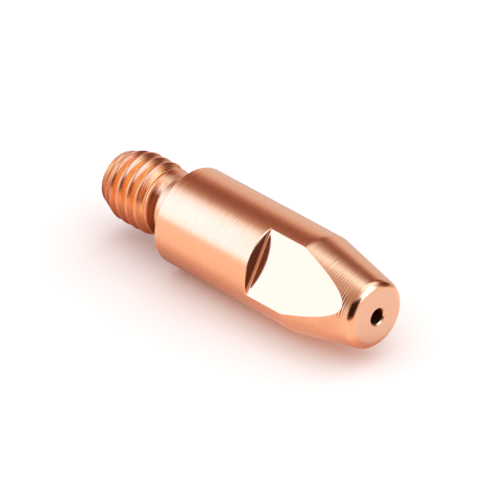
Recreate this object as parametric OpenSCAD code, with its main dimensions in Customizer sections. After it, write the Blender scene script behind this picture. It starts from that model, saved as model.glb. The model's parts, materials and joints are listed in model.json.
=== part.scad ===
// Welding contact tip: one turned copper piece that carries the wire and the current.
// It stands on its threaded end, with the nose up along +Z and the wire's path on the Z axis.
// The two wrench flats face -Y and +Y. The thread is drawn at its major diameter.

/* [Overall] */
// Length from the threaded end to the nose face
tip_length = 28; // [25:0.5:34]

/* [Body] */
// Diameter of the turned body
body_d = 8; // [7:0.1:10]
// Edge break on the rim round the shoulder
rim_break = 0.1; // [0.05:0.05:0.4]

/* [Threaded stud] */
// Major diameter of the stud's M6 thread
stud_d = 5.88; // [5:0.02:6.4]
// Length of the stud, from its end to the shoulder
stud_length = 7.8; // [6:0.1:10]
// Length of the taper that leads the stud into its socket
lead_length = 1.7; // [0.5:0.1:2.5]
// Diameter of the stud's end face
lead_d = 4.5; // [4:0.1:4.8]
// Length of the full thread, from the stud's end
thread_length = 4.3; // [3:0.1:5.5]
// Diameter of the neck between the thread and the shoulder
neck_d = 5.32; // [4.8:0.02:5.8]
// Length of the taper from the thread down to that neck
neck_taper_length = 1.1; // [0.2:0.1:1.6]

/* [Nose] */
// Length of the tapered nose
nose_length = 6.4; // [4:0.1:8]
// Diameter that the taper would have at the nose face if its edge were sharp
nose_d = 5.4; // [4.6:0.1:6.4]
// Radius of the rounded edge at the nose face
nose_radius = 0.8; // [0.3:0.05:1]

/* [Wrench flats] */
// Distance across the two flats
flats_across = 5.9; // [5.5:0.1:6.5]
// Length of the flats, from their step to the nose face
flats_length = 10.2; // [8:0.1:12]
// Radius left by the cutter in the corner of the step
flats_corner_radius = 0.2; // [0.1:0.05:0.4]

/* [Wire bore] */
// Diameter of the bore that guides the wire
bore_d = 1.3; // [0.9:0.05:2]
// Edge break where the bore opens at the nose face
bore_break = 0.06; // [0.02:0.01:0.2]
// Diameter of the funnel where the wire enters, at the stud's end face
inlet_d = 2.6; // [2.2:0.1:3]
// Full angle of that funnel
inlet_angle = 60; // [40:5:90]

/* [Hidden] */
$fn = 96;
COPPER = "#d68a63";
// Overlap that carries a cut clean through the faces it opens
CUT = 1;

// The taper's drop in radius for each millimetre of length, and its half angle
taper_slope = (body_d - nose_d) / 2 / nose_length;
taper_angle = atan(taper_slope);
// The rounded edge's circle touches the taper and the nose face
edge_z = tip_length - nose_radius;
edge_r = nose_d / 2 + taper_slope * nose_radius - nose_radius / cos(taper_angle);
// The funnel's depth follows from its two diameters and its angle
inlet_depth = (inlet_d - bore_d) / 2 / tan(inlet_angle / 2);

// Half section of the whole turning, with the radius along X and the length along Y.
module turned_section() {
    polygon([
        [0, 0],
        [lead_d / 2, 0],
        [stud_d / 2, lead_length],
        [stud_d / 2, thread_length],
        [neck_d / 2, thread_length + neck_taper_length],
        [neck_d / 2, stud_length],
        [body_d / 2 - rim_break, stud_length],
        [body_d / 2, stud_length + rim_break],
        [body_d / 2, tip_length - nose_length],
        [edge_r + nose_radius * cos(taper_angle), edge_z + nose_radius * sin(taper_angle)],
        [edge_r, edge_z],
        [edge_r, tip_length],
        [0, tip_length],
    ]);
    translate([edge_r, edge_z]) circle(r = nose_radius);
}

// The wire's way through the tip: the inlet funnel, the bore and its broken front edge.
module wire_path() {
    translate([0, 0, -CUT]) cylinder(d = bore_d, h = tip_length + 2 * CUT);
    cylinder(d1 = inlet_d, d2 = bore_d, h = inlet_depth);
    translate([0, 0, tip_length - bore_break])
        cylinder(d1 = bore_d, d2 = bore_d + 2 * bore_break, h = bore_break);
}

// What the cutter takes away on one side: all that lies beyond the flat and above its step.
module flat_cut() {
    depth = body_d / 2 - flats_across / 2 + CUT;
    height = flats_length + CUT;
    translate([-body_d / 2 - CUT, flats_across / 2, tip_length - flats_length])
        rotate([90, 0, 90])
            linear_extrude(height = body_d + 2 * CUT) {
                translate([flats_corner_radius, 0]) square([depth - flats_corner_radius, height]);
                translate([0, flats_corner_radius]) square([depth, height - flats_corner_radius]);
                translate([flats_corner_radius, flats_corner_radius]) circle(r = flats_corner_radius);
            }
}

module contact_tip() {
    color(COPPER)
        difference() {
            rotate_extrude() turned_section();
            wire_path();
            for (side = [0, 180]) rotate([0, 0, side]) flat_cut();
        }
}

contact_tip();
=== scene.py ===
# %% [markdown]
# # A welding contact tip in copper
# The tip screws into a welding torch, guides the wire through its bore and hands it the current.
# The real one is turned from a copper bar, threaded, drilled, and milled flat on two sides for
# a wrench. This lesson dresses the measured solid: a true thread, fine edges, turned and milled
# copper, and a studio.

# %% Load the frame
import json
import math
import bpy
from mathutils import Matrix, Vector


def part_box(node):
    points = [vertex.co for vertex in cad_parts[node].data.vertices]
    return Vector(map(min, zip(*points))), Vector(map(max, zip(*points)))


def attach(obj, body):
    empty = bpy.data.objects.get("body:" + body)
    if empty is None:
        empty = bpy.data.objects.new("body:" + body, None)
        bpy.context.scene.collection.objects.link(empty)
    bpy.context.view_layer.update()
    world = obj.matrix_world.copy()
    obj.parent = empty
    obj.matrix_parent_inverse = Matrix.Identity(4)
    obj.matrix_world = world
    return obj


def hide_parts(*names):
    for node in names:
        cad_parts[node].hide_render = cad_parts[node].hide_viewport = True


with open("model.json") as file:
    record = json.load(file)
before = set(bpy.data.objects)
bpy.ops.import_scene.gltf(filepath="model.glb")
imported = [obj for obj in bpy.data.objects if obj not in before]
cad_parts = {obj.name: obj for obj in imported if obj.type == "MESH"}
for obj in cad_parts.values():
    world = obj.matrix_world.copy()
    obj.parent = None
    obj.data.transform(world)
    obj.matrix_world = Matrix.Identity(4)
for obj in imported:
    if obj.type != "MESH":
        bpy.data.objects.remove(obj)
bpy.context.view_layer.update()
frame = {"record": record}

from types import SimpleNamespace

import bpy
import numpy as np
from mathutils import Matrix, Vector

# %% [markdown]
# ## Sizes
# The frame already knows what fits other parts: the stud, the bore, the shoulder and the two
# flats. Those sizes are read from it, so the skin can't drift away from the solid. The sizes that
# only shape the look, such as the taper of the nose, are named here once. Lengths are in
# millimetres, as a turner's are, and the mesh is scaled to metres when it is written.

# %% Sizes from the frame
MM = 0.001
mounts = {mount["name"]: mount for mount in frame["record"]["mounts"]}
highest_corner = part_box("contact_tip")[1] / MM
tip_length = highest_corner.z
body_radius = highest_corner.x
stud_radius = mounts["thread_stud"]["dims"]["r_mm"]
bore_radius = mounts["wire_bore"]["dims"]["r_mm"]
shoulder_z = mounts["shoulder_seat"]["pos_m"][2] / MM
flat_y = mounts["wrench_flat_back"]["pos_m"][1] / MM
print(f"length {tip_length:.2f}, body radius {body_radius:.2f}, stud radius {stud_radius:.2f} mm")

# %% Sizes of the turned shape
rim_break = 0.1
lead_length = 1.7
lead_radius = 2.25
thread_length = 4.3
neck_radius = 2.5
neck_taper_length = 1.8
nose_length = 6.4
taper_end_radius = 2.7
nose_edge_radius = 0.8
flats_length = 10.2
step_corner_radius = 0.2
step_edge_break = 0.06
mouth_break = 0.1
inlet_radius = 1.3
inlet_half_angle = math.radians(30)

taper_z = tip_length - nose_length
step_z = tip_length - flats_length
neck_slope = (stud_radius - neck_radius) / neck_taper_length
taper_slope = (body_radius - taper_end_radius) / nose_length
taper_angle = math.atan(taper_slope)
nose_edge_z = tip_length - nose_edge_radius
nose_edge_centre = (
    taper_end_radius + taper_slope * nose_edge_radius - nose_edge_radius / math.cos(taper_angle)
)
flat_end_z = taper_z + (body_radius - flat_y) / taper_slope
inlet_depth = (inlet_radius - bore_radius) / math.tan(inlet_half_angle)
print(f"taper {math.degrees(taper_angle):.2f} degrees, flats run out at z {flat_end_z:.2f} mm")

# %% [markdown]
# ## Camera
# The photograph was taken with a long lens, from the side and a little above, with the tip lying
# down. The part stands on its threaded end, so the camera is turned about its own axis instead of
# the tip. An azimuth, an elevation and a roll say where it looks, and the pixel and the distance
# of the nose's centre say where it stands: that is easier to correct than a bare matrix.

# %% Camera
IMAGE_SIZE = 500
SENSOR_WIDTH = 36.0
camera_lens = 446.0
camera_azimuth = math.radians(-12.93)
camera_elevation = math.radians(38.09)
camera_roll = math.radians(118.71)
nose_pixel = (377.56, 317.01)
nose_distance = 461.8
nose_middle = Vector((0, 0, tip_length))


def camera_axes(azimuth, elevation, roll):
    """The camera's right, up and back axes: a level camera at that azimuth and elevation,
    then rolled about its own back axis."""
    level_right = Vector((math.cos(azimuth), math.sin(azimuth), 0))
    back = Vector(
        (
            math.sin(azimuth) * math.cos(elevation),
            -math.cos(azimuth) * math.cos(elevation),
            math.sin(elevation),
        )
    )
    level_up = back.cross(level_right)
    right = math.cos(roll) * level_right + math.sin(roll) * level_up
    return right, back.cross(right), back


camera_right, camera_up, camera_back = camera_axes(camera_azimuth, camera_elevation, camera_roll)
pixels_per_slope = camera_lens / SENSOR_WIDTH * IMAGE_SIZE
across = (nose_pixel[0] - IMAGE_SIZE / 2) / pixels_per_slope * nose_distance
down = (nose_pixel[1] - IMAGE_SIZE / 2) / pixels_per_slope * nose_distance
camera_place = nose_middle - across * camera_right + down * camera_up + nose_distance * camera_back

camera_data = bpy.data.cameras.new("camera")
camera_data.lens = camera_lens
camera_data.sensor_width = SENSOR_WIDTH
camera = bpy.data.objects.new("camera", camera_data)
camera.matrix_world = Matrix.LocRotScale(
    camera_place * MM,
    Matrix((camera_right, camera_up, camera_back)).transposed(),
    None,
)
bpy.context.scene.collection.objects.link(camera)
bpy.context.scene.camera = camera
print("camera stands at", [round(c, 4) for c in camera.location])

# %% [markdown]
# ## Shader maths
# Node trees are easier to read as sums. This small class wraps one socket, so that `1 - mask` or
# `height * 1000` adds the Math node it stands for. Every other kind of node comes from one method.

# %% A socket that can be calculated with


class Wire:
    """One output socket of a node tree. Operators on it add Math nodes and give the new socket."""

    def __init__(self, tree, socket):
        self.tree = tree
        self.socket = socket

    @classmethod
    def node(cls, tree, kind, settings=None, sockets=None, output=0):
        """Adds a node, sets its settings, then fills its sockets with values or links."""
        node = tree.nodes.new(kind)
        for name, value in (settings or {}).items():
            setattr(node, name, value)
        for key, value in (sockets or {}).items():
            if isinstance(value, cls):
                tree.links.new(value.socket, node.inputs[key])
            else:
                node.inputs[key].default_value = value
        return cls(tree, node.outputs[output]) if len(node.outputs) else node

    def math(self, operation, first, *others):
        """The result of that operation of a Math node on these values or sockets."""
        values = dict(enumerate((first, *others)))
        return Wire.node(self.tree, "ShaderNodeMath", {"operation": operation}, values)

    def __add__(self, other):
        return self.math("ADD", self, other)

    def __sub__(self, other):
        return self.math("SUBTRACT", self, other)

    def __mul__(self, other):
        return self.math("MULTIPLY", self, other)

    def __rsub__(self, other):
        return self.math("SUBTRACT", other, self)

    __radd__ = __add__
    __rmul__ = __mul__

    def above(self, edge, softness):
        """0 below the edge and 1 above it, rising evenly over the softness."""
        ramp = {"Value": self, "From Min": edge - softness / 2, "From Max": edge + softness / 2}
        return Wire.node(self.tree, "ShaderNodeMapRange", {"clamp": True}, ramp)


# %% Helpers for materials
WHITE = (1, 1, 1, 1)


def mixed(tree, factor, low, high):
    """A colour between two others."""
    settings = {"data_type": "RGBA"}
    return Wire.node(tree, "ShaderNodeMix", settings, {0: factor, 6: low, 7: high}, output=2)


def mixed_shader(tree, factor, low, high):
    """A shader between two others."""
    return Wire.node(tree, "ShaderNodeMixShader", sockets={0: factor, 1: low, 2: high})


def new_material(name):
    """An empty node material and its tree."""
    material = bpy.data.materials.new(name)
    material.use_nodes = True
    material.node_tree.nodes.clear()
    return material, material.node_tree


def finish_material(tree, surface):
    """Links a shader to the material's output."""
    Wire.node(tree, "ShaderNodeOutputMaterial", sockets={"Surface": surface})


def seen_directly(tree):
    """1 for rays that come from the camera, a mirror or glass, and 0 for scattered light."""
    kinds = ("Is Camera Ray", "Is Glossy Ray", "Is Transmission Ray")
    wires = [Wire.node(tree, "ShaderNodeLightPath", output=kind) for kind in kinds]
    return wires[0].math("MINIMUM", wires[0] + wires[1] + wires[2], 1.0)


# %% [markdown]
# ## Studio
# Bare copper has hardly any look of its own: it shows what stands round it. So the studio matters
# as much as the metal. In the photograph the tip lies on white paper. Here the part stands, so its
# floor is a plane beside it, and the studio has axes of its own: right and away from the camera
# along that floor, and up from it.

# %% Studio axes
camera_over_floor = math.radians(31.5)
floor_up = math.cos(camera_over_floor) * camera_up + math.sin(camera_over_floor) * camera_back
floor_right = camera_right
floor_away = floor_up.cross(floor_right)
studio_axes = Matrix((floor_right, floor_away, floor_up)).transposed()
tip_axis = Vector((0, 0, 1))
tip_middle = Vector((0, 0, tip_length / 2))
print("the photograph's floor faces", [round(c, 3) for c in floor_up])

# %% A flat piece of the studio


def add_plane(name, width, height, place, axes, material):
    """A rectangle in its own X and Y, facing its own Z, put at a place along three axes."""
    corners = np.array([(-1, -1, 0), (1, -1, 0), (1, 1, 0), (-1, 1, 0)], float)
    corners *= np.array((width, height, 0)) / 2
    turned_corners = corners @ np.array(axes).T + np.array(place)
    mesh = bpy.data.meshes.new(name)
    mesh.from_pydata((turned_corners * MM).tolist(), [], [(0, 1, 2, 3)])
    mesh.uv_layers.new().data.foreach_set("uv", [0.0, 0.0, 1.0, 0.0, 1.0, 1.0, 0.0, 1.0])
    mesh.materials.append(material)
    plane = bpy.data.objects.new(name, mesh)
    bpy.context.scene.collection.objects.link(plane)
    return plane


# %% [markdown]
# ## Floor
# The paper is white and keeps a soft shadow. A diffuse plane takes that shadow. Far from the tip
# the same plane is seen as plain white, so no horizon shows, and from behind it isn't there, so it
# hides the tip in no view. A narrow gap under the tip leaves room for the cards on the floor.

# %% Floor
floor_size = 3000
floor_colour = (0.95, 0.95, 0.95, 1)
floor_gap = 0.1
plain_floor_start = 90
plain_floor_blend = 100


def make_floor_material():
    """White paper near the tip, plain white far from it, and clear from behind."""
    material, tree = new_material("white_floor")
    paper = Wire.node(tree, "ShaderNodeBsdfDiffuse", sockets={"Color": floor_colour})
    plain = Wire.node(tree, "ShaderNodeEmission", sockets={"Color": WHITE})
    place = Wire.node(tree, "ShaderNodeTexCoord", output="Object")
    from_tip = Wire.node(
        tree,
        "ShaderNodeVectorMath",
        {"operation": "DISTANCE"},
        {0: place, 1: tip_middle * MM},
        output="Value",
    )
    far_off = from_tip.above(plain_floor_start * MM, plain_floor_blend * MM) * seen_directly(tree)
    behind = Wire.node(tree, "ShaderNodeNewGeometry", output="Backfacing")
    clear = Wire.node(tree, "ShaderNodeBsdfTransparent")
    seen_paper = mixed_shader(tree, far_off, paper, plain)
    finish_material(tree, mixed_shader(tree, behind, seen_paper, clear))
    return material


floor_place = tip_middle - (body_radius + floor_gap) * floor_up
add_plane("floor", floor_size, floor_size, floor_place, studio_axes, make_floor_material())
print("floor lies", floor_gap, "mm from the body")

# %% [markdown]
# ## Soft boxes and cards
# Whoever photographs metal sets a bright box where a highlight is wanted and a dark card where
# a band should be dark, and the metal mirrors both. The boxes lean to blue, because copper turns
# a white light orange and the highlights here are white. Every card glows with one level in its
# middle and another at its border, so no band has a hard edge. Only the metal sees the cards.

# %% A card for the metal to mirror
CLEAR_SHARE = 0.3
card_distance = 400


def card_material(name, middle, border, soft_edge, cover):
    """A glow with one light level in the card's middle and another towards its border, over those
    shares of its width and height. The outermost part of that border fades out."""
    material, tree = new_material(name)
    across_card = Wire.node(tree, "ShaderNodeUVMap")
    inside = 1.0
    for axis, soft in zip("XY", soft_edge):
        place = Wire.node(tree, "ShaderNodeSeparateXYZ", sockets={0: across_card}, output=axis)
        inward = place.math("MINIMUM", place, 1 - place)
        settings = {"interpolation_type": "SMOOTHSTEP"}
        ramp = {"Value": inward, "From Max": soft}
        inside = inside * Wire.node(tree, "ShaderNodeMapRange", settings, ramp)
    level = mixed(tree, inside, (*border, 1), (*middle, 1))
    glow = Wire.node(tree, "ShaderNodeEmission", sockets={"Color": level})
    clear = Wire.node(tree, "ShaderNodeBsdfTransparent")
    covered = cover * inside.above(CLEAR_SHARE / 2, CLEAR_SHARE)
    finish_material(tree, mixed_shader(tree, covered, clear, glow))
    return material


def show_only_in_metal(card):
    """Hides a card from the camera and from the light on the floor."""
    card.visible_camera = False
    card.visible_diffuse = False
    card.visible_shadow = False


def add_card(
    name,
    bearing,
    elevation,
    width,
    height,
    middle,
    border,
    soft_edge=(0.25, 0.25),
    roll=0,
    distance=card_distance,
    about=tip_middle,
):
    """A card that faces a place on the tip, at a distance in millimetres. Bearing turns from away
    (0) to the right (90), and roll turns the card about its own middle. These angles and the
    card's width and height are degrees, as seen from that place."""
    turn = math.radians(bearing)
    rise = math.radians(elevation)
    level = math.cos(rise)
    direction = Vector((math.sin(turn) * level, math.cos(turn) * level, math.sin(rise)))
    outward = studio_axes @ direction
    rolled = Matrix.Rotation(math.radians(roll), 3, outward)
    side = rolled @ outward.cross(floor_up).normalized()
    axes = Matrix((side, side.cross(outward), -outward)).transposed()
    sides = [2 * distance * math.tan(math.radians(angle / 2)) for angle in (width, height)]
    material = card_material(name, middle, border, soft_edge, cover=1.0)
    card = add_plane(name, *sides, about + distance * outward, axes, material)
    show_only_in_metal(card)
    return card


# %% Soft boxes
BOX_LIGHT = (1.28, 2.2, 3.55)
RIGHT_LIGHT = (1.38, 2.7, 4.5)
BACK_LIGHT = (1.1, 1.5, 1.4)
TOP_LIGHT = (1.26, 2.0, 2.6)
BOX_EDGE = (1.1, 1.05, 0.25)
TOP_EDGE = (1.0, 1.05, 0.9)
add_card("left_soft_box", -91.5, 36.5, 59, 71, BOX_LIGHT, BOX_EDGE, soft_edge=(0.3, 0.17))
add_card("left_back_box", -46, 8, 28, 22, BACK_LIGHT, BOX_EDGE)
add_card("right_soft_box", 123, 42, 58, 60, RIGHT_LIGHT, BOX_EDGE, soft_edge=(0.25, 0.22))
add_card("top_soft_box", 58, 72, 62, 50, TOP_LIGHT, TOP_EDGE, roll=60)
print("soft boxes stand", card_distance, "mm from the tip")

# %% Grey and dark cards behind the tip
BACK_GREY = (0.82, 0.82, 0.82)
BACK_GREY_EDGE = (0.9, 0.9, 0.9)
BAND_DARK = (0.2, 0.04, 0.0)
BAND_EDGE = (0.86, 0.52, 0.4)
RIGHT_DARK = (0.12, 0.045, 0.03)
RIGHT_EDGE = (0.6, 0.42, 0.36)
add_card("grey_back", 5, 6, 110, 44, BACK_GREY, BACK_GREY_EDGE)
add_card("dark_back", 8, 45, 136, 48, BAND_DARK, BAND_EDGE, soft_edge=(0.23, 0.42), roll=11)
add_card("dark_right", 68, 17, 46, 42, RIGHT_DARK, RIGHT_EDGE)
print("grey and dark cards stand", card_distance, "mm from the tip")

# %% Dark cards near the nose
FRONT_DARK = (0.03, 0.005, 0.0)
FRONT_EDGE = (0.4, 0.2, 0.1)
OVER_DARK = (0.5, 0.36, 0.3)
OVER_EDGE = (0.8, 0.82, 0.85)
front_distance = 17
over_distance = 22
near_front = {"soft_edge": (0.17, 0.2), "distance": front_distance, "about": nose_middle}
near_over = {"soft_edge": (0.45, 0.45), "distance": over_distance, "about": nose_middle}
add_card("dark_front", -164, 23, 76, 64, FRONT_DARK, FRONT_EDGE, **near_front)
add_card("dark_over_nose", -116, 51, 80, 70, OVER_DARK, OVER_EDGE, **near_over)
print("dark cards stand", front_distance, "and", over_distance, "mm from the nose")

# %% [markdown]
# ## Cards on the floor
# The underside of the tip mirrors the floor, which close to the tip lies in its own shadow. One
# soft dark card under the tip gives that, and a narrower one below it reaches farther under the
# nose. A large grey card behind the tip dims the far floor in the upper edge of the body.

# %% Cards on the floor
floor_card_lift = 0.05
under_card_lift = 0.03


def add_floor_card(
    name, along, width, length, place, middle, border, soft_edge, cover=1.0, lift=floor_card_lift
):
    """A card that lies on the floor with its length along a direction."""
    axes = Matrix((along.cross(floor_up), -along, floor_up)).transposed()
    material = card_material(name, middle, border, soft_edge, cover)
    card = add_plane(name, width, length, place + lift * floor_up, axes, material)
    show_only_in_metal(card)
    return card


SHADE_BORDER = (0.97, 0.74, 0.66)
TIP_SHADE = (0.27, 0.1, 0.07)
CONTACT_SHADE = (0.48, 0.2, 0.13)
BACK_FLOOR_MIDDLE = (0.78, 0.78, 0.78)
BACK_FLOOR_BORDER = (0.4, 0.38, 0.37)
back_floor_size = (500, 300)
tip_shade_place = floor_place - 12.8 * tip_axis
contact_shade_place = floor_place - 12 * tip_axis
back_floor_place = floor_place + (back_floor_size[1] / 2 + body_radius) * floor_away
add_floor_card(
    "tip_shade",
    tip_axis,
    width=18,
    length=58,
    place=tip_shade_place,
    middle=TIP_SHADE,
    border=SHADE_BORDER,
    soft_edge=(0.5, 0.4),
    cover=0.95,
)
add_floor_card(
    "contact_shade",
    tip_axis,
    width=10,
    length=62,
    place=contact_shade_place,
    middle=CONTACT_SHADE,
    border=SHADE_BORDER,
    soft_edge=(0.5, 0.12),
    cover=0.9,
    lift=under_card_lift,
)
add_floor_card(
    "back_floor",
    floor_away,
    *back_floor_size,
    place=back_floor_place,
    middle=BACK_FLOOR_MIDDLE,
    border=BACK_FLOOR_BORDER,
    soft_edge=(0.1, 0.13),
)
print("floor cards lie", under_card_lift, "to", floor_card_lift, "mm over the floor")

# %% [markdown]
# ## Room light
# A white room all round lights the paper evenly. Two screens low over the floor, which only
# scattered light sees, hold back some of it in front and behind, so that the shadow lies along
# the tip and takes the warm tint that copper throws on paper.

# %% Screens that shade the floor
screen_elevation = 23
screen_width = 100
screen_height = 50
screens = {
    "front_screen": (-150, (1.0, 0.72, 0.68)),
    "back_screen": (-25, (0.5, 0.26, 0.25)),
}
for name, (bearing, level) in screens.items():
    screen = add_card(
        name, bearing, screen_elevation, screen_width, screen_height, middle=level, border=level
    )
    screen.visible_diffuse = True
    screen.visible_glossy = False
print("screens at an elevation of", screen_elevation, "degrees:", list(screens))

# %% World
room_light = 1.36


def make_world():
    """A white room that is brighter for scattered light than where it is seen directly."""
    world = bpy.data.worlds.new("white_room")
    world.use_nodes = True
    tree = world.node_tree
    tree.nodes.clear()
    strength = room_light + (1 - room_light) * seen_directly(tree)
    sockets = {"Color": WHITE, "Strength": strength}
    white = Wire.node(tree, "ShaderNodeBackground", sockets=sockets)
    Wire.node(tree, "ShaderNodeOutputWorld", sockets={"Surface": white})
    return world


bpy.context.scene.world = make_world()
bpy.context.scene.view_settings.view_transform = "Standard"

# %% [markdown]
# ## Rings of the turned shape
# A lathe makes circles, so the skin is a stack of rings, each with the same number of points.
# A wrench flat only cuts a ring short: the point keeps its X and its Y is held at the flat. For
# clean edges a point has to lie exactly where the flat starts, so each ring divides its two arcs
# and its two flats separately, and the columns along the flats' edges are known by number.

# %% Columns round a ring
ARC_COLUMNS = 64
FLAT_COLUMNS = 56
COLUMNS = 2 * (ARC_COLUMNS + FLAT_COLUMNS)
corner_columns = np.cumsum([0, ARC_COLUMNS, FLAT_COLUMNS, ARC_COLUMNS])
body_corner = math.asin(flat_y / body_radius)


def ring_angles(corner):
    """Angles of the columns. Between the corners, which lie at plus and minus that angle and
    opposite, an arc and a flat take turns, and each is divided evenly."""
    corner = np.atleast_1d(corner)[:, None]
    on_arc = np.arange(ARC_COLUMNS) / ARC_COLUMNS
    on_flat = np.arange(FLAT_COLUMNS) / FLAT_COLUMNS
    half = np.hstack([-corner + 2 * corner * on_arc, corner + (np.pi - 2 * corner) * on_flat])
    return np.hstack([half, half + np.pi])


def rings(radius, height, corner=body_corner, flat=np.inf):
    """Points (row, column, xyz) of rings: X is radius times cosine, and Y is radius times sine,
    held between minus and plus the flat's distance."""
    per_row = map(np.atleast_1d, (radius, height, corner, flat))
    radius, height, corner, flat = np.broadcast_arrays(*per_row)
    angles = ring_angles(corner)
    x = radius[:, None] * np.cos(angles)
    y = np.clip(radius[:, None] * np.sin(angles), -flat[:, None], flat[:, None])
    z = np.broadcast_to(height[:, None], x.shape)
    return np.stack([x, y, z], axis=-1)


print(COLUMNS, "columns, flats start at", round(math.degrees(body_corner), 2), "degrees")

# %% [markdown]
# ## The thread
# The stud carries an M6 thread with a pitch of one millimetre. A thread could be a bump, but its
# grooves are deep and show at the outline, so they are shaped here. The thread is rolled, so its
# ridges are round: a crest circle runs into a straight flank and that into a small root circle.
# How far a point lies from the middle of the groove, counted along the axis, gives its depth. Rows
# of the grid climb with the helix, so that they follow the ridges. Behind the thread the bar tapers
# to a thinner neck, where one last short groove begins and ends.

# %% Thread profile
pitch = 1.0
flank_angle = math.radians(57)
crest_radius = 0.2
root_radius = 0.08
crest_half = crest_radius * math.sin(flank_angle)
crest_drop = crest_radius * (1 - math.cos(flank_angle))
root_half = root_radius * math.sin(flank_angle)
root_rise = root_radius * (1 - math.cos(flank_angle))
flank_slope = math.tan(flank_angle)
groove_depth = crest_drop + (pitch / 2 - crest_half - root_half) * flank_slope + root_rise


def thread_depth(aside):
    """Depth below the crest at a distance from the groove's middle: the crest circle's drop, then
    the straight flank's, then the root circle's."""
    from_crest = pitch / 2 - aside
    crest = crest_radius - np.sqrt(np.maximum(crest_radius**2 - from_crest**2, 0))
    flank = crest_drop + (from_crest - crest_half) * flank_slope
    root = groove_depth - root_radius + np.sqrt(np.maximum(root_radius**2 - aside**2, 0))
    return np.select([from_crest < crest_half, aside < root_half], [crest, root], flank)


print(f"groove {groove_depth:.3f} mm deep, ridge circle {crest_radius:.2f} mm")

# %% Where the grooves begin and end
groove_start = 0.02
fade_start_z = 4.9
fade_end_z = 5.3
last_groove_start_z = 5.64
last_groove_end_z = 6.4
last_groove_rise = 0.1
last_groove_fall = 0.4


def groove_share(groove_z):
    """Share of the full depth that the groove has at its height: it fades out on the taper, and
    farther on one short groove begins and ends."""
    fading = np.clip((fade_end_z - groove_z) / (fade_end_z - fade_start_z), 0, 1)
    begun = np.clip((groove_z - last_groove_start_z) / last_groove_rise, 0, 1)
    left = np.clip((last_groove_end_z - groove_z) / last_groove_fall, 0, 1)
    return fading + begun * left


def thread_radius(height, angle):
    """Radius of the stud. A ridge is as high as the outside of the stud there: the thread's own
    radius, then the taper down to the neck. The groove's depth is scaled to that height and to its
    share. The lead taper cuts both."""
    turns = (height - groove_start) / pitch - angle / (2 * np.pi)
    from_groove = (turns - np.round(turns)) * pitch
    share = groove_share(height - from_groove)
    fullness = 1 - share * thread_depth(np.abs(from_groove)) / groove_depth
    taper_heights = [thread_length, thread_length + neck_taper_length]
    outside = np.interp(height, taper_heights, [stud_radius, neck_radius])
    root = stud_radius - groove_depth
    lead = lead_radius + (stud_radius - lead_radius) * height / lead_length
    return np.minimum(root + (outside - root) * fullness, lead)


print(f"neck radius {thread_radius(np.array(shoulder_z), 0.0):.3f} mm at the shoulder")

# %% Thread surface
CREST_ROWS = 6
FLANK_ROWS = 5
ROOT_ROWS = 4
SPARE_TURNS = 2
crest_turn = np.linspace(0, flank_angle, CREST_ROWS, endpoint=False)
root_turn = np.linspace(flank_angle, 0, ROOT_ROWS, endpoint=False)
flank_places = np.linspace(crest_half, pitch / 2 - root_half, FLANK_ROWS, endpoint=False)
half_ridge = np.concatenate(
    [crest_radius * np.sin(crest_turn), flank_places, pitch / 2 - root_radius * np.sin(root_turn)]
)
groove_rows = np.concatenate([half_ridge - pitch / 2, [0], pitch / 2 - half_ridge[:0:-1]])
ROWS_PER_PITCH = len(groove_rows)
thread_angles = np.linspace(0, 2 * np.pi, COLUMNS, endpoint=False) - body_corner


def thread_surface():
    """Points of the helical grid: a row starts at its place in the groove and climbs one pitch
    in a turn, held between the stud's end and the shoulder."""
    turn_count = math.ceil(shoulder_z / pitch) + SPARE_TURNS
    starts = groove_start + pitch * np.arange(-SPARE_TURNS, turn_count)[:, None] + groove_rows
    heights = starts.reshape(-1, 1) + pitch * thread_angles / (2 * np.pi)
    heights = np.clip(heights, 0, shoulder_z)
    angles = np.broadcast_to(thread_angles, heights.shape)
    radius = thread_radius(heights, angles)
    return np.stack([radius * np.cos(angles), radius * np.sin(angles), heights], axis=-1)


def thread_ring(radius, height):
    """One ring whose points stand at the angles of the thread's columns."""
    x = radius * np.cos(thread_angles)
    y = radius * np.sin(thread_angles)
    return np.stack([x, y, np.full(COLUMNS, height)], axis=-1)


thread_points = thread_surface()
print("thread grid", thread_points.shape, "rows per turn", ROWS_PER_PITCH)

# %% [markdown]
# ## Body, flats, nose and bore
# The rest of the outline runs from the shoulder up the body, over the step and the flats to the
# nose, then down through the bore to the stud's end. The taper meets each flat in a curve that
# closes to a point, and rings crowd together there so that the curve stays smooth. In the corner of
# the step the cutter leaves a small radius, which dies away where the wall runs out.

# %% Shoulder and body
BODY_ROWS = 8
shoulder_ring_gap = 0.4
shoulder_radii = [neck_radius, neck_radius + shoulder_ring_gap, body_radius - rim_break]
shoulder = rings(shoulder_radii, shoulder_z)
shoulder[0] = thread_ring(neck_radius, shoulder_z)
body_heights = np.linspace(shoulder_z + rim_break, step_z - 2 * step_edge_break, BODY_ROWS)
body = rings(body_radius, body_heights)
print("shoulder rows", len(shoulder), "body rows", len(body))

# %% Step of the flats
CORNER_ROWS = 8
EDGE_LIMIT = 0.3
CORNER_LIMIT = 0.8


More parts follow.
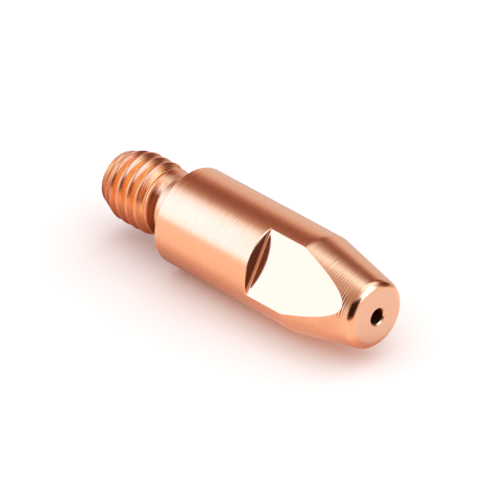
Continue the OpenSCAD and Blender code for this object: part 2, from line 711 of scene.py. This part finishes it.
def step_rows():
    """The broken edge, the wall and the corner radius. How far the wall stands above the flat at
    a column limits the break and the corner there, so both vanish at the flat's ends."""
    circle = rings(body_radius, step_z)[0]
    wall_height = np.maximum(np.abs(circle[:, 1]) - flat_y, 0)
    side = np.sign(circle[:, 1])
    edge = np.minimum(step_edge_break, EDGE_LIMIT * wall_height)
    below = circle - np.stack([0 * edge, 0 * edge, edge], axis=-1)
    narrower = 1 - edge / body_radius
    inward = circle * np.stack([narrower, narrower, np.ones(COLUMNS)], axis=-1)
    corner = np.minimum(step_corner_radius, CORNER_LIMIT * wall_height)
    share = np.linspace(0, 1, CORNER_ROWS + 1)[:, None]
    turn = share * np.pi / 2
    cut_y = flat_y + corner * (1 - np.sin(turn))
    y = side * np.where(wall_height > 0, cut_y, np.abs(circle[:, 1]))
    z = step_z + corner * (1 - np.cos(turn)) + (step_corner_radius - corner) * share
    x = np.broadcast_to(circle[:, 0], z.shape)
    return np.concatenate([below[None], inward[None], np.stack([x, y, z], axis=-1)])


step = step_rows()
print("step rows", step.shape)

# %% Flats on the body and on the taper
FLAT_BODY_ROWS = 6
FLAT_TAPER_ROWS = 44
taper_blend = 0.04
above_corner = 0.1
flat_body_start = step_z + step_corner_radius + above_corner
flat_body_heights = np.linspace(flat_body_start, taper_z - taper_blend, FLAT_BODY_ROWS)
flat_body = rings(body_radius, flat_body_heights, flat=flat_y)
closing = (1 - np.linspace(0, 1, FLAT_TAPER_ROWS)) ** 2
flat_taper_heights = flat_end_z - (flat_end_z - taper_z - taper_blend) * closing
flat_taper_radius = body_radius - taper_slope * (flat_taper_heights - taper_z)
flat_taper_corner = np.arcsin(np.minimum(flat_y / flat_taper_radius, 1))
flat_taper = rings(flat_taper_radius, flat_taper_heights, flat_taper_corner, flat_y)
print("flat rows", len(flat_body), "on the body and", len(flat_taper), "on the taper")

# %% Nose and its rounded edge
BARE_TAPER_STEPS = 10
NOSE_ROWS = 18
taper_top_z = nose_edge_z + nose_edge_radius * math.sin(taper_angle)
bare_taper_heights = np.linspace(flat_end_z, taper_top_z, BARE_TAPER_STEPS)[1:-1]
bare_taper_radius = body_radius - taper_slope * (bare_taper_heights - taper_z)
spread = np.linspace(math.pi / 2, body_corner, BARE_TAPER_STEPS)[1:-1]
bare_taper = rings(bare_taper_radius, bare_taper_heights, spread)
edge_turn = np.linspace(taper_angle, math.pi / 2, NOSE_ROWS)
nose_edge = rings(
    nose_edge_centre + nose_edge_radius * np.cos(edge_turn),
    nose_edge_z + nose_edge_radius * np.sin(edge_turn),
)
print(f"nose face starts at radius {nose_edge_centre:.3f} mm")

# %% Nose face, bore and inlet
FACE_STEPS = 5
BORE_ROWS = 12
INLET_STEPS = 5
end_ring_gap = 0.3
mouth_radius = bore_radius + mouth_break
nose_face = rings(np.linspace(nose_edge_centre, mouth_radius, FACE_STEPS)[1:], tip_length)
bore = rings(bore_radius, np.linspace(tip_length - mouth_break, inlet_depth, BORE_ROWS))
inlet = rings(
    np.linspace(bore_radius, inlet_radius, INLET_STEPS)[1:],
    np.linspace(inlet_depth, 0, INLET_STEPS)[1:],
)
stud_end = rings([inlet_radius + end_ring_gap, lead_radius], 0.0)
stud_end[-1] = thread_ring(lead_radius, 0.0)
outline = [shoulder, body, step, flat_body, flat_taper, bare_taper, nose_edge]
outline += [nose_face, bore, inlet, stud_end]
turned_points = np.concatenate(outline)
print("turned grid", turned_points.shape)

# %% [markdown]
# ## One closed skin
# Two grids now cover the tip: the thread, and everything from the shoulder round to the stud's
# end. They share their border rings, so points that fall on one another become one. The helical
# rows that were held at the stud's end or at the shoulder collapse, and faces without area are
# dropped.

# %% Join the two grids
weld_tolerance = 1e-5


def grid_faces(rows, shift):
    """Corner numbers of a grid's faces. The last column joins the first, that many rows on."""
    row = np.arange(rows - 1)[:, None]
    column = np.arange(COLUMNS)
    after = np.where(column == COLUMNS - 1, 0, column + 1)
    climb = np.where(column == COLUMNS - 1, shift, 0)
    near = row * COLUMNS + column
    near_after = np.minimum(row + climb, rows - 1) * COLUMNS + after
    far = (row + 1) * COLUMNS + column
    far_after = np.minimum(row + 1 + climb, rows - 1) * COLUMNS + after
    return np.stack([near, near_after, far_after, far], axis=-1).reshape(-1, 4)


def weld(points, faces):
    """Makes one point of those that coincide, and sorts the faces that keep an area into
    four-sided and three-sided ones."""
    places = np.round(points / weld_tolerance).astype(np.int64)
    _, first, number = np.unique(places, axis=0, return_index=True, return_inverse=True)
    corners = number.reshape(-1)[faces]
    repeated = corners == np.roll(corners, -1, axis=1)
    quads = corners[~repeated.any(axis=1)]
    single = repeated.sum(axis=1) == 1
    triangles = corners[single][~repeated[single]].reshape(-1, 3)
    quads = quads[(quads[:, 0] != quads[:, 2]) & (quads[:, 1] != quads[:, 3])]
    return points[first], quads, triangles, number.reshape(-1)


all_points = np.concatenate([thread_points.reshape(-1, 3), turned_points.reshape(-1, 3)])
thread_count = thread_points.shape[0] * COLUMNS
all_faces = np.concatenate(
    [
        grid_faces(len(thread_points), ROWS_PER_PITCH),
        grid_faces(len(turned_points), 0) + thread_count,
    ]
)
skin_points, skin_quads, skin_triangles, skin_number = weld(all_points, all_faces)
print("skin:", len(skin_points), "points,", 2 * len(skin_quads) + len(skin_triangles), "triangles")

# %% Crisp edges along the flats
smooth_limit = math.radians(28)
first_flat_row = len(shoulder) + len(body) + len(step) - 1
last_flat_row = first_flat_row + len(flat_body) + len(flat_taper)
edge_rows = np.arange(first_flat_row, last_flat_row + 1)[:, None]
on_flat_edge = np.zeros(len(skin_points), bool)
on_flat_edge[skin_number[thread_count + edge_rows * COLUMNS + corner_columns]] = True
print("points on the flats' edges:", np.count_nonzero(on_flat_edge))

# %% The skin's mesh


def make_skin():
    """The mesh, smooth where its faces turn slowly and sharp at real edges and along the flats."""
    mesh = bpy.data.meshes.new("contact_tip_skin")
    faces = skin_quads.tolist() + skin_triangles.tolist()
    mesh.from_pydata((skin_points * MM).tolist(), [], faces)
    mesh.polygons.foreach_set("use_smooth", np.ones(len(mesh.polygons), bool))
    mesh.set_sharp_from_angle(angle=smooth_limit)
    ends = np.empty(2 * len(mesh.edges), np.int32)
    mesh.edges.foreach_get("vertices", ends)
    sharp = np.empty(len(mesh.edges), bool)
    mesh.edges.foreach_get("use_edge_sharp", sharp)
    sharp |= on_flat_edge[ends.reshape(-1, 2)].all(axis=1)
    mesh.edges.foreach_set("use_edge_sharp", sharp)
    mesh.update()
    print("sharp edges:", np.count_nonzero(sharp), "of", len(sharp))
    skin = bpy.data.objects.new("contact_tip_skin", mesh)
    bpy.context.scene.collection.objects.link(skin)
    return skin


skin = make_skin()

# %% [markdown]
# ## Copper
# Turned copper is a metal whose colour is its reflection, so the shader is metallic and its base
# colour is what white paper looks like in it. The finish differs by how each face was made. The
# body and nose carry fine rings from the lathe, and beside the ends of the flats the cutter's
# chatter, which painted shade darkens a little. The flats are milled almost to a mirror. The thread
# is redder, its roots carry a painted golden glow of light that bounces between the flanks, and its
# last groove is stained brown. The bore is dull: a painted warm tint colours the glint at its
# mouth, and painted shade darkens it deeper in. All of it follows from where a point lies, so
# Object coordinates are enough, and masks made from them choose the finish.

# %% Noise for the finish
NOISE_ROUGHNESS = 0.6
LINE_DETAIL = 2.0
CLOUD_DETAIL = 3.0


def line_noise(tree, place, scale):
    """Noise that varies along one measure only, so it makes rings or streaks."""
    sockets = {"W": place, "Scale": scale, "Detail": LINE_DETAIL, "Roughness": NOISE_ROUGHNESS}
    return Wire.node(tree, "ShaderNodeTexNoise", {"noise_dimensions": "1D"}, sockets)


def cloud_noise(tree, place, scale):
    """Noise that varies in all directions."""
    sockets = {"Vector": place, "Scale": scale, "Detail": CLOUD_DETAIL}
    sockets["Roughness"] = NOISE_ROUGHNESS
    return Wire.node(tree, "ShaderNodeTexNoise", sockets=sockets)


# %% Measures of a point


def measure(tree):
    """A point's place in millimetres, its height along the tip, its distance from the axis, how
    far it lies outside the flats' planes, and the groove it belongs to."""
    spot = SimpleNamespace()
    place = Wire.node(tree, "ShaderNodeTexCoord", output="Object")
    scaled = {0: place, "Scale": 1 / MM}
    spot.place = Wire.node(tree, "ShaderNodeVectorMath", {"operation": "SCALE"}, scaled)
    x, y, height = (
        Wire.node(tree, "ShaderNodeSeparateXYZ", sockets={0: spot.place}, output=axis)
        for axis in "XYZ"
    )
    spot.height = height
    spot.radius = x.math("SQRT", x * x + y * y)
    spot.along_profile = height - spot.radius
    spot.off_flat = y.math("ABSOLUTE", y) - flat_y
    taper_drop = height.math("MAXIMUM", height - thread_length, 0.0) * neck_slope
    spot.below_crest = stud_radius - taper_drop - spot.radius
    angle = x.math("ARCTAN2", y, x)
    turns = (height - groove_start) * (1 / pitch) - angle * (1 / (2 * math.pi))
    spot.from_groove = turns - turns.math("ROUND", turns)
    spot.groove_z = height - spot.from_groove * pitch
    return spot


# %% Masks for the faces of the tip
# Each pair holds the edge of a mask and the softness of that edge.
step_edge = (step_z + 0.02, 0.02)
flat_edge = (-0.006, 0.008)
corner_edge = (0.006, 0.008)
thread_end = (shoulder_z - 0.05, 0.05)
neck_start = (fade_end_z + 0.2, 0.4)
lead_end = (lead_length - 0.1, 0.4)
# The root glow masks mark the deep part of the grooves for a painted golden glow of bounced light.
root_glow_depth = (0.3, 0.25)
root_glow_end = (fade_start_z - 0.1, 0.5)
nose_edge_start = (nose_edge_z + 0.2, 0.3)
nose_edge_end = (nose_edge_centre, 0.2)
face_start = (tip_length - 0.05, 0.04)
bore_edge = (bore_radius + 0.12, 0.1)
mouth_start = (tip_length - 0.5, 0.3)
stain_start = (last_groove_start_z + 0.07, 0.04)
stain_end = (last_groove_end_z, last_groove_fall)
stain_width = (0.4, 0.2)
stain_patches = (0.22, 0.2)
stain_scale = 4.0


def find_faces(tree, spot):
    """Masks from 0 to 1 for the faces that a point can lie on."""
    height = spot.height
    spot.on_flat = spot.off_flat.above(*flat_edge) * height.above(*step_edge)
    spot.in_corner = spot.on_flat * spot.off_flat.above(*corner_edge)
    spot.on_thread = 1 - height.above(*thread_end)
    spot.on_neck = spot.on_thread * height.above(*neck_start)
    # Roots deep in the grooves get a painted golden glow.
    in_root = spot.on_thread * height.above(*lead_end) * spot.below_crest.above(*root_glow_depth)
    spot.in_golden_root = in_root * (1 - height.above(*root_glow_end))
    spot.on_nose_edge = height.above(*nose_edge_start) * spot.radius.above(*nose_edge_end)
    spot.on_face = height.above(*face_start)
    # The bore and its mouth take a painted warm tint that colours the glint there.
    spot.in_bore = 1 - spot.radius.above(*bore_edge)
    # Deep in the bore the colour takes painted shade and the roughness rises.
    spot.deep_in_bore = spot.in_bore * (1 - height.above(*mouth_start))
    aside = spot.from_groove.math("ABSOLUTE", spot.from_groove)
    spot.in_last_groove = (
        spot.on_thread
        * spot.groove_z.above(*stain_start)
        * (1 - spot.groove_z.above(*stain_end))
        * (1 - aside.above(*stain_width))
        * cloud_noise(tree, spot.place, stain_scale).above(*stain_patches)
    )


# %% Chatter beside the flats
feed = 0.27
side_end = (tip_length - 1.0, 0.3)
wave_edge = (0.2, 1.6)
chatter_start = (taper_z + 3.4, 1.2)
chatter_reach = (-0.55, 0.5)


def find_chatter(spot):
    """Waves along the outline, one for each feed of the cutter, on the last part of the taper and
    only near the flats' planes. The nose's edge and face have none."""
    spot.on_side = 1 - spot.height.above(*side_end)
    phase = spot.along_profile * (2 * math.pi / feed)
    waves = phase.math("SINE", phase).above(*wave_edge)
    waves = waves * spot.height.above(*chatter_start) * spot.on_side * (1 - spot.on_flat)
    spot.chatter = waves * spot.off_flat.above(*chatter_reach)


# %% Colour
copper_colour = (0.95, 0.48, 0.285, 1)
warm_copper_colour = (0.96, 0.45, 0.245, 1)
faced_copper_colour = (0.815, 0.462, 0.312, 1)
milled_copper_colour = (0.95, 0.455, 0.257, 1)
thread_colour = (0.86, 0.325, 0.162, 1)
# This warm colour is painted light: a golden glow in the thread's roots and a warm tint for the
# glint at the bore's mouth.
warm_glow_colour = (0.94, 0.465, 0.165, 1)
# This brown is the real stain on the lathe marks and in the last groove, and painted shade deep in
# the bore and in the chatter.
stain_and_shade_colour = (0.3, 0.055, 0.012, 1)
cloud_scale = 0.45
cloud_edge = (0.55, 0.4)
least_warmth = 0.55
cloud_warmth = 0.4
ring_scale = 5.0
ring_edge = (0.55, 0.3)
streak_edge = (0.6, 0.3)
streak_share = 0.5
speck_scale = 6.0
speck_edge = (0.68, 0.1)
ring_stain = 0.06
speck_stain = 0.2
# The chatter's darker colour is painted shade.
chatter_painted_shade = 0.2
# Painted light in the bore: a warm tint that colours the glint at its mouth, and painted shade
# deeper in.
bore_glint_tint = 0.4
bore_painted_shade = 0.7


def copper_colours(tree, spot):
    """Two coppers in soft clouds. Over them come the faced nose, the milled flats with their
    streaks, the lathe's rings and specks, the thread with a painted golden glow in its roots, the
    stain in its last groove, a painted warm tint for the glint at the bore's mouth, and painted
    shade deep in the bore and in the chatter."""
    clouds = cloud_noise(tree, spot.place, cloud_scale).above(*cloud_edge)
    streaks = line_noise(tree, spot.height, ring_scale).above(*streak_edge)
    turning_rings = line_noise(tree, spot.height, ring_scale).above(*ring_edge)
    specks = cloud_noise(tree, spot.place, speck_scale).above(*speck_edge)
    lathe_stain = (turning_rings * ring_stain + specks * speck_stain) * (1 - spot.on_flat)
    warmth = least_warmth + clouds * cloud_warmth
    colour = mixed(tree, warmth, copper_colour, warm_copper_colour)
    layers = (
        (spot.on_face, faced_copper_colour),
        (spot.on_flat, milled_copper_colour),
        (spot.on_flat * streaks * streak_share, warm_copper_colour),
        (lathe_stain, stain_and_shade_colour),
        (spot.on_thread - spot.on_neck, thread_colour),
        # Painted golden glow in the thread's roots.
        (spot.in_golden_root, warm_glow_colour),
        (spot.in_last_groove, stain_and_shade_colour),
        # Painted warm tint for the glint at the bore's mouth, then painted shade deep in the bore.
        (spot.in_bore * bore_glint_tint, warm_glow_colour),
        (spot.deep_in_bore * bore_painted_shade, stain_and_shade_colour),
        # Painted shade in the chatter.
        (spot.chatter * chatter_painted_shade, stain_and_shade_colour),
    )
    for share, layer_colour in layers:
        colour = mixed(tree, share, colour, layer_colour)
    return colour


# %% Roughness
body_roughness = 0.26
flat_roughness = 0.13
corner_roughness = 0.35
thread_roughness = 0.24
neck_roughness = 0.36
stain_roughness = 0.45
nose_edge_roughness = 0.19
bore_roughness = 0.4
uneven_scale = 1.6
uneven_roughness = 0.06


def copper_roughness(tree, spot):
    """The body's roughness with soft clouds. Each face's mask then adds the difference to the
    roughness that it replaces."""
    clouds = cloud_noise(tree, spot.place, uneven_scale) - 0.5
    roughness = body_roughness + clouds * uneven_roughness
    changes = (
        (spot.on_thread, body_roughness, thread_roughness),
        (spot.on_neck, thread_roughness, neck_roughness),
        (spot.in_last_groove, neck_roughness, stain_roughness),
        (spot.on_nose_edge, body_roughness, nose_edge_roughness),
        (spot.on_flat, body_roughness, flat_roughness),
        (spot.in_corner, flat_roughness, corner_roughness),
        (spot.deep_in_bore, body_roughness, bore_roughness),
    )
    for mask, before, after in changes:
        roughness = roughness + mask * (after - before)
    return roughness


# %% Turning marks
fine_ring_scale = 14.0
fine_ring_height = 0.6
coarse_ring_scale = 3.5
coarse_ring_height = 2
chatter_height = 6
bump_strength = 0.5
bump_distance = 0.006
bump_edge = (bore_radius + 0.25, 0.1)


def turning_marks(tree, spot):
    """A bump of fine rings, with coarse rings and the chatter on the sides. The flats and the bore
    have none."""
    fine_rings = line_noise(tree, spot.along_profile, fine_ring_scale) * fine_ring_height
    coarse_rings = line_noise(tree, spot.along_profile, coarse_ring_scale) * coarse_ring_height
    side_marks = (coarse_rings + spot.chatter * chatter_height) * spot.on_side
    outside = spot.radius.above(*bump_edge)
    marks = (fine_rings + side_marks) * (1 - spot.on_flat) * outside
    sockets = {"Height": marks, "Strength": bump_strength, "Distance": bump_distance * MM}
    return Wire.node(tree, "ShaderNodeBump", sockets=sockets)


# %% Copper material


def make_copper():
    """Bare metal with the colour, the roughness and the turning marks of the faces above."""
    material, tree = new_material("turned_copper")
    spot = measure(tree)
    find_faces(tree, spot)
    find_chatter(spot)
    sockets = {
        "Base Color": copper_colours(tree, spot),
        "Roughness": copper_roughness(tree, spot),
        "Metallic": 1.0,
        "Normal": turning_marks(tree, spot),
    }
    finish_material(tree, Wire.node(tree, "ShaderNodeBsdfPrincipled", sockets=sockets))
    return material


copper = make_copper()
skin.data.materials.append(copper)
print("copper has", len(copper.node_tree.nodes), "nodes")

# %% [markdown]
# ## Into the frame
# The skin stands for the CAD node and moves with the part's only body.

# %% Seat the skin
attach(skin, "root")
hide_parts("contact_tip")
